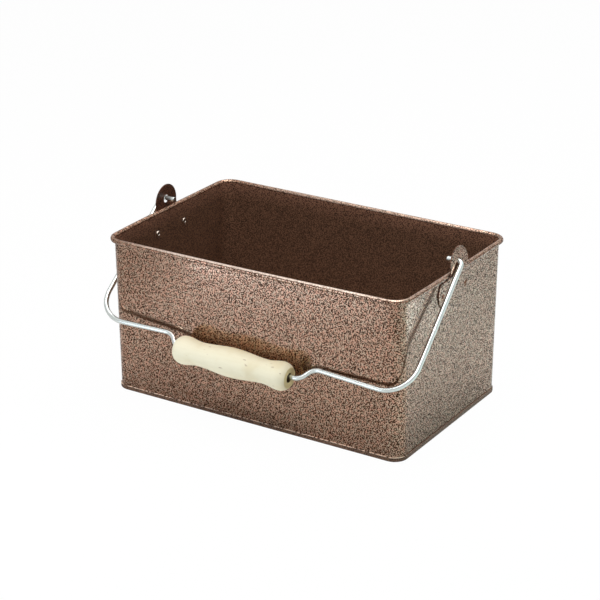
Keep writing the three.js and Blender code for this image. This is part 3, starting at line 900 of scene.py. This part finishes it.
CAMERA_PLACE = (0.73599, -1.18903, 0.64617)
CAMERA_TURN = 31.958  # degrees round the object
CAMERA_DIP = 22.291  # degrees downwards
CAMERA_LENS = 119.6  # millimetres
CAMERA_SENSOR = 36  # millimetres
FLOOR_DROP = 0.0003  # below the object's foot
FLOOR_HALF = 1.3
BOARD = "EDEDEB"
SEEN_WHITE = 0.98  # share of plain white in what the camera sees of the floor
TENT_TOP = 0.82  # brightness of the white tent round the stage, as the object mirrors it
TENT_FOOT = 0.9
TENT_FADE = (0.1, 0.45)  # rises of a mirrored ray between which the foot gives way to the top


def white_sweep():
    """Pale table board. Lit as a board is, and shown to the camera as the plain white background,
    with part of the object's shadow kept."""
    material, tree = new_material("white_sweep")
    path = add(tree, "ShaderNodeLightPath")
    seen = times(tree, path.outputs["Is Camera Ray"], SEEN_WHITE)
    board = add(tree, "ShaderNodeBsdfDiffuse", {"Color": linear(BOARD)})
    glow = add(tree, "ShaderNodeEmission", {"Color": (1, 1, 1, 1), "Strength": 1.0})
    mix = add(tree, "ShaderNodeMixShader", {0: seen, 1: board.outputs[0], 2: glow.outputs[0]})
    add(tree, "ShaderNodeOutputMaterial", {"Surface": mix.outputs[0]})
    return material


def floor():
    """The white sweep, just under the object's foot."""
    mesh = bpy.data.meshes.new("floor")
    corners = [(side * FLOOR_HALF, end * FLOOR_HALF, -FLOOR_DROP)
               for side, end in ((-1, -1), (1, -1), (1, 1), (-1, 1))]
    mesh.from_pydata(corners, [], [(0, 1, 2, 3)])
    mesh.materials.append(white_sweep())
    sweep = bpy.data.objects.new("floor", mesh)
    bpy.context.scene.collection.objects.link(sweep)


def lamp(name, place, aim, size, watts, tint="FFFFFF", spread=180):
    """A soft rectangular lamp, which the camera doesn't see."""
    data = bpy.data.lights.new(name, "AREA")
    data.shape = "RECTANGLE"
    data.size, data.size_y = size
    data.energy = watts
    data.color = linear(tint)[:3]
    data.spread = math.radians(spread)
    soft = bpy.data.objects.new(name, data)
    soft.location = place
    soft.rotation_euler = (Vector(aim) - Vector(place)).to_track_quat("-Z", "Y").to_euler()
    soft.visible_camera = False
    bpy.context.scene.collection.objects.link(soft)


def world():
    """A white tent round the stage. The camera sees it plain white and the object mirrors it, but
    only the lamps light the object."""
    made = bpy.data.worlds.new("studio")
    made.use_nodes = True
    tree = made.node_tree
    tree.nodes.clear()
    path = add(tree, "ShaderNodeLightPath")
    way = add(tree, "ShaderNodeTexCoord").outputs["Generated"]
    rise = add(tree, "ShaderNodeSeparateXYZ", {0: way}).outputs["Z"]
    tent = ramp(tree, rise, *TENT_FADE, low=TENT_FOOT, high=TENT_TOP, shape="SMOOTHSTEP")
    strength = add(tree, "ShaderNodeMath", {
        0: path.outputs["Is Glossy Ray"], 1: tent, 2: path.outputs["Is Camera Ray"],
    }, operation="MULTIPLY_ADD")
    light = add(tree, "ShaderNodeBackground", {
        "Color": (1, 1, 1, 1), "Strength": strength.outputs[0],
    })
    add(tree, "ShaderNodeOutputWorld", {"Surface": light.outputs[0]})
    bpy.context.scene.world = made


def camera():
    """The camera that was fitted to the photograph's edges."""
    data = bpy.data.cameras.new("camera")
    data.lens = CAMERA_LENS
    data.sensor_width = CAMERA_SENSOR
    view = bpy.data.objects.new("camera", data)
    view.location = CAMERA_PLACE
    view.rotation_euler = Euler((math.radians(90 - CAMERA_DIP), 0, math.radians(CAMERA_TURN)))
    bpy.context.scene.collection.objects.link(view)
    bpy.context.scene.camera = view


floor()
world()
lamp("overhead_softbox", place=(0.02, 0.02, 1.1), aim=(0.02, 0.02, 0), size=(0.75, 1.6), watts=19.8)
lamp("right_window", place=(0.33, 0.12, 0.6), aim=(0.33, 0.12, 0), size=(0.25, 0.5), watts=0.28,
     tint="9FFFFF", spread=60)
lamp("right_gridded_box", place=(0.3, 0.16, 0.2), aim=(0.3, 0.16, 0), size=(0.06, 0.06), watts=0.26,
     tint="D0F0FF", spread=30)
lamp("reflector_card", place=(-0.105, -0.33, 0.065), aim=(0.03, -0.0785, 0.1), size=(0.2, 0.12),
     watts=0.235, tint="D8EBFF")
camera()
bpy.context.scene.view_settings.view_transform = "Standard"
